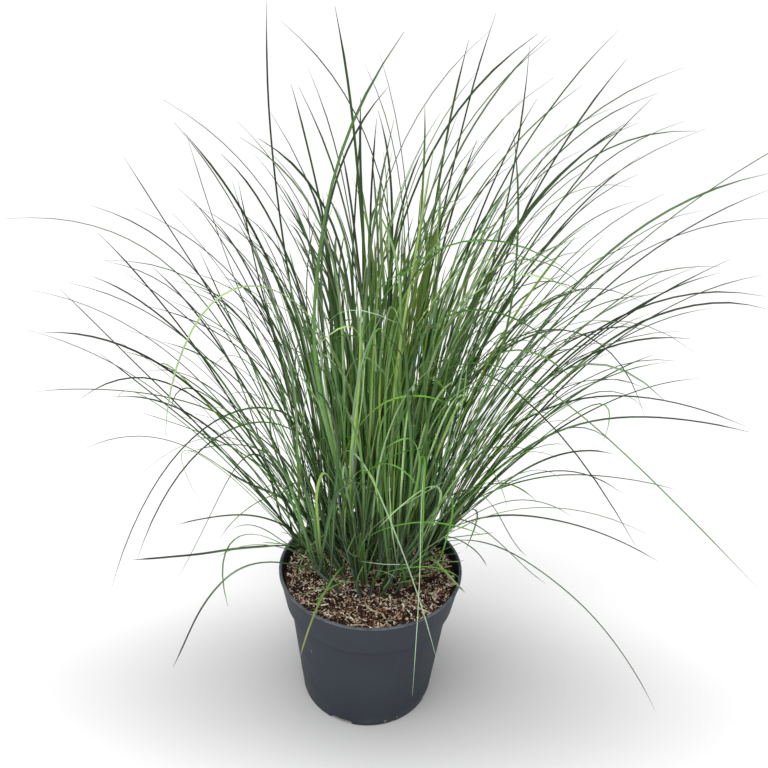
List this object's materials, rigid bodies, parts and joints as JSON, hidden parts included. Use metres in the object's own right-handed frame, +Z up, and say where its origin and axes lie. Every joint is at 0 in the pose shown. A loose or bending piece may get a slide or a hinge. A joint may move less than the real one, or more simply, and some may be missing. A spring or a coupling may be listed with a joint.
{
  "type": "potted ornamental grass clump",
  "caption": "Clump of fine arching ornamental grass growing from potting soil in a round tapered nursery pot with a deep rim band; stands on its flat base",
  "frame": {"origin": "middle of the pot's flat underside, on the surface that the pot stands on", "axes": "+Z up along the pot's axis, -Y towards the side that the picture was taken from, +X to the right as seen from there"},
  "size_m": [0.685, 0.5266, 0.67],
  "materials": {
    "pot_plastic": "matte moulded anthracite plastic with a slightly lighter worn lip",
    "potting_mix": "dark peat with pale bark chips and fibres",
    "grass_green": "satin living grass, mid green with pale midribs and blue-green sheaths",
    "dry_straw": "dry straw-coloured dead leaf"
  },
  "bodies": {
    "root": {"pot": "pot_plastic", "potting_soil": "potting_mix", "shoot_01": "grass_green", "shoot_02": "grass_green", "shoot_03": "grass_green", "shoot_04": "grass_green", "shoot_05": "grass_green", "shoot_06": "grass_green", "shoot_07": "grass_green", "shoot_08": "grass_green", "shoot_09": "grass_green", "shoot_10": "grass_green", "shoot_11": "grass_green", "shoot_12": "grass_green", "shoot_13": "grass_green", "shoot_14": "grass_green", "shoot_15": "grass_green", "shoot_16": "grass_green", "shoot_17": "grass_green", "shoot_18": "grass_green", "shoot_19": "grass_green", "shoot_20": "grass_green", "shoot_21": "grass_green", "shoot_22": "grass_green", "shoot_23": "grass_green", "shoot_24": "grass_green", "shoot_25": "grass_green", "shoot_26": "grass_green", "shoot_27": "grass_green", "shoot_28": "grass_green", "shoot_29": "grass_green", "shoot_30": "grass_green", "shoot_31": "grass_green", "shoot_32": "grass_green", "shoot_33": "grass_green", "shoot_34": "grass_green", "shoot_35": "grass_green", "shoot_36": "grass_green", "shoot_37": "grass_green", "shoot_38": "grass_green", "shoot_39": "grass_green", "shoot_40": "grass_green", "shoot_41": "grass_green", "shoot_42": "grass_green", "shoot_43": "grass_green", "shoot_44": "grass_green", "shoot_45": "grass_green", "shoot_46": "grass_green", "dry_leaf_01": "dry_straw", "dry_leaf_02": "dry_straw"}
  },
  "joints": []
}
